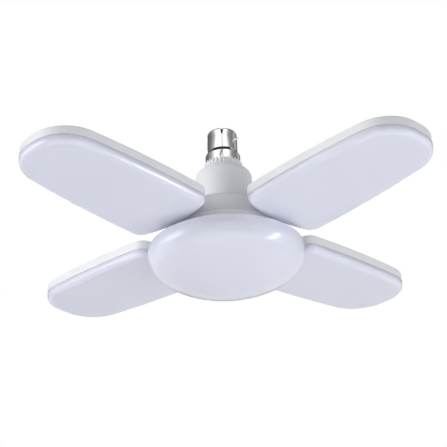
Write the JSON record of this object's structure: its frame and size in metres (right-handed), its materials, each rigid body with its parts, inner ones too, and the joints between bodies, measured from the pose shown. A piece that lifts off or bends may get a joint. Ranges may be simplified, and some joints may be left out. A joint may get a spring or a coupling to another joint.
{
  "type": "folding garage light",
  "caption": "Screwless bayonet-cap ceiling light: flat oblong leaves fold on hinges round a domed centre light and a driver neck.",
  "frame": {"origin": "centre of the bayonet cap's rim", "axes": "+Z along the cap's axis, up into the lampholder; the leaves point along +X, +Y, -X and -Y"},
  "size_m": [0.3646, 0.3646, 0.131],
  "materials": {
    "cap_metal": "polished nickel plate",
    "brass": "nickel-tinted brass",
    "solder": "domed solder",
    "insulator": "smooth black",
    "white_plastic": "satin moulded",
    "opal": "smooth opal",
    "led_board": "white solder resist",
    "led_chip": "phosphor gel",
    "steel": "zinc plated",
    "washer": "spring steel",
    "circuit_board": "phenolic board",
    "ferrite": "ferrite and tape",
    "capacitor_sleeve": "sleeve",
    "film_capacitor": "dipped box",
    "black_epoxy": "moulded epoxy",
    "fuse_body": "flameproof lacquer",
    "lead_sleeve": "silicone sleeve"
  },
  "bodies": {
    "hub": {"bayonet_pins": "brass", "bayonet_shell": "cap_metal", "cap_contacts": "solder", "cap_insulator": "insulator", "centre_diffuser": "opal", "centre_led_board": "led_board", "centre_leds": "led_chip", "centre_tray": "white_plastic", "driver_board": "circuit_board", "driver_bulk_capacitor": "capacitor_sleeve", "driver_controller": "black_epoxy", "driver_film_capacitor": "film_capacitor", "driver_fuse": "fuse_body", "driver_rectifier": "black_epoxy", "driver_transformer": "ferrite", "hub_bell": "white_plastic", "hub_screws": "steel", "leaf_1_friction_washers": "washer", "leaf_1_hinge_clip": "steel", "leaf_1_hinge_pin": "steel", "leaf_2_friction_washers": "washer", "leaf_2_hinge_clip": "steel", "leaf_2_hinge_pin": "steel", "leaf_3_friction_washers": "washer", "leaf_3_hinge_clip": "steel", "leaf_3_hinge_pin": "steel", "leaf_4_friction_washers": "washer", "leaf_4_hinge_clip": "steel", "leaf_4_hinge_pin": "steel", "neck_housing": "white_plastic", "output_leads": "lead_sleeve", "supply_leads": "lead_sleeve"},
    "leaf_1": {"leaf_1_housing": "white_plastic", "leaf_1_diffuser": "opal", "leaf_1_led_board": "led_board", "leaf_1_leds": "led_chip", "leaf_1_board_screws": "steel"},
    "leaf_2": {"leaf_2_housing": "white_plastic", "leaf_2_diffuser": "opal", "leaf_2_led_board": "led_board", "leaf_2_leds": "led_chip", "leaf_2_board_screws": "steel"},
    "leaf_3": {"leaf_3_housing": "white_plastic", "leaf_3_diffuser": "opal", "leaf_3_led_board": "led_board", "leaf_3_leds": "led_chip", "leaf_3_board_screws": "steel"},
    "leaf_4": {"leaf_4_housing": "white_plastic", "leaf_4_diffuser": "opal", "leaf_4_led_board": "led_board", "leaf_4_leds": "led_chip", "leaf_4_board_screws": "steel"}
  },
  "joints": [
    {"name": "leaf_1_hinge", "type": "hinge", "parent": "hub", "child": "leaf_1", "pos_m": [0.0475, 0, -0.07514], "axis": [0, -1, 0], "range_deg": [-3.77, 86.23]},
    {"name": "leaf_2_hinge", "type": "hinge", "parent": "hub", "child": "leaf_2", "pos_m": [0, 0.0475, -0.07514], "axis": [1, 0, 0], "range_deg": [-3.77, 86.23]},
    {"name": "leaf_3_hinge", "type": "hinge", "parent": "hub", "child": "leaf_3", "pos_m": [-0.0475, 0, -0.07514], "axis": [0, 1, 0], "range_deg": [-3.77, 86.23]},
    {"name": "leaf_4_hinge", "type": "hinge", "parent": "hub", "child": "leaf_4", "pos_m": [0, -0.0475, -0.07514], "axis": [-1, 0, 0], "range_deg": [-3.77, 86.23]}
  ]
}
